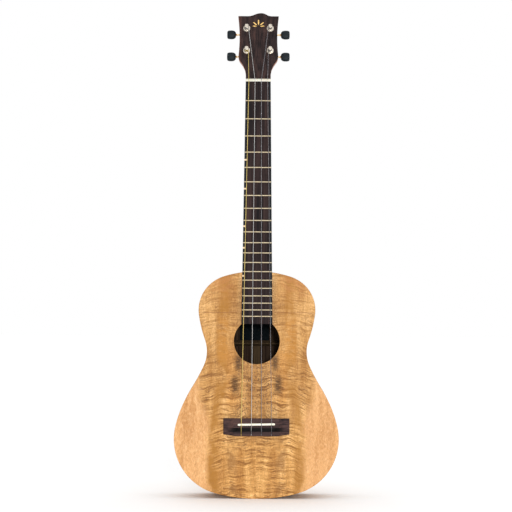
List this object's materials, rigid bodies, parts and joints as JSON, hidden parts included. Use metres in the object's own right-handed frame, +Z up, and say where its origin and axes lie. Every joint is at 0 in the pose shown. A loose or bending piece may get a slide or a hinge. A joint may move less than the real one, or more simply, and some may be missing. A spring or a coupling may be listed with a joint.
{
  "type": "ukulele",
  "caption": "Baritone ukulele with a waisted hollow body, round soundhole, fretted neck, tilted flat head and geared tuners that wind the strings.",
  "frame": {"origin": "on the centre line in the plane of the front of the soundboard, at the height where the arms of a wall hanger carry the head, 24 mm above the nut", "axes": "+Z up along the neck from body to head, -Y out of the front face towards the player's audience, +X to the treble side"},
  "size_m": [0.245, 0.0863, 0.7225],
  "materials": {
    "body_wood": "satin lacquer over figured tan wood",
    "inner_wood": "bare light wood",
    "neck_wood": "satin reddish brown",
    "dark_wood": "oiled dark brown",
    "black_binding": "satin black",
    "fret_metal": "polished nickel silver",
    "marker": "cream",
    "bone": "polished bone",
    "dark_label": "dark card",
    "gold_inlay": "polished",
    "nickel": "polished nickel plate",
    "brass": "satin",
    "black_button": "satin black",
    "gold_wound_string": "fine wound",
    "silver_wound_string": "fine wound",
    "nylon_string": "clear grey nylon"
  },
  "bodies": {
    "root": {"back": "body_wood", "back_braces": "inner_wood", "back_center_strip": "inner_wood", "back_linings": "inner_wood", "bridge": "dark_wood", "bridge_plate": "inner_wood", "fan_braces": "inner_wood", "fret_markers": "marker", "fretboard": "dark_wood", "fretboard_binding": "black_binding", "frets": "fret_metal", "headstock_inlay": "gold_inlay", "headstock_veneer": "dark_wood", "heel_cap": "dark_wood", "neck": "neck_wood", "neck_block": "inner_wood", "nut": "bone", "saddle": "bone", "side_bass": "body_wood", "side_treble": "body_wood", "soundboard": "body_wood", "soundboard_linings": "inner_wood", "soundhole_label": "dark_label", "soundhole_ring": "inner_wood", "string_b": "nylon_string", "string_d": "gold_wound_string", "string_e": "nylon_string", "string_g": "silver_wound_string", "tail_block": "inner_wood", "transverse_braces": "inner_wood", "tuner_bushings": "nickel", "tuner_plate_b": "nickel", "tuner_plate_d": "nickel", "tuner_plate_e": "nickel", "tuner_plate_g": "nickel", "tuner_plate_screws": "nickel"},
    "key_d": {"worm_shaft_d": "brass", "tuner_button_d": "black_button"},
    "post_d": {"tuner_post_d": "nickel", "tuner_gear_d": "brass", "gear_screw_d": "nickel", "string_wrap_d": "gold_wound_string"},
    "key_g": {"worm_shaft_g": "brass", "tuner_button_g": "black_button"},
    "post_g": {"tuner_post_g": "nickel", "tuner_gear_g": "brass", "gear_screw_g": "nickel", "string_wrap_g": "silver_wound_string"},
    "key_b": {"worm_shaft_b": "brass", "tuner_button_b": "black_button"},
    "post_b": {"tuner_post_b": "nickel", "tuner_gear_b": "brass", "gear_screw_b": "nickel", "string_wrap_b": "nylon_string"},
    "key_e": {"worm_shaft_e": "brass", "tuner_button_e": "black_button"},
    "post_e": {"tuner_post_e": "nickel", "tuner_gear_e": "brass", "gear_screw_e": "nickel", "string_wrap_e": "nylon_string"}
  },
  "joints": [
    {"name": "key_turn_d", "type": "hinge", "parent": "root", "child": "key_d", "pos_m": [-0.0175, 0.01962, 0.01469], "axis": [1, 0, 0], "continuous": true},
    {"name": "post_turn_d", "type": "hinge", "parent": "root", "child": "post_d", "pos_m": [-0.0175, 0.00711, 0.02236], "axis": [0, -0.9863, 0.165], "continuous": true},
    {"name": "key_turn_g", "type": "hinge", "parent": "root", "child": "key_g", "pos_m": [-0.0175, 0.02521, 0.04812], "axis": [1, 0, 0], "continuous": true},
    {"name": "post_turn_g", "type": "hinge", "parent": "root", "child": "post_g", "pos_m": [-0.0175, 0.01271, 0.05579], "axis": [0, -0.9863, 0.165], "continuous": true},
    {"name": "key_turn_b", "type": "hinge", "parent": "root", "child": "key_b", "pos_m": [0.0175, 0.02521, 0.04812], "axis": [1, 0, 0], "continuous": true},
    {"name": "post_turn_b", "type": "hinge", "parent": "root", "child": "post_b", "pos_m": [0.0175, 0.01271, 0.05579], "axis": [0, -0.9863, 0.165], "continuous": true},
    {"name": "key_turn_e", "type": "hinge", "parent": "root", "child": "key_e", "pos_m": [0.0175, 0.01962, 0.01469], "axis": [1, 0, 0], "continuous": true},
    {"name": "post_turn_e", "type": "hinge", "parent": "root", "child": "post_e", "pos_m": [0.0175, 0.00711, 0.02236], "axis": [0, -0.9863, 0.165], "continuous": true}
  ],
  "couplings": [
    {"joint": "post_turn_d", "follows": "key_turn_d", "ratio": -0.071429},
    {"joint": "post_turn_g", "follows": "key_turn_g", "ratio": -0.071429},
    {"joint": "post_turn_b", "follows": "key_turn_b", "ratio": -0.071429},
    {"joint": "post_turn_e", "follows": "key_turn_e", "ratio": -0.071429}
  ]
}
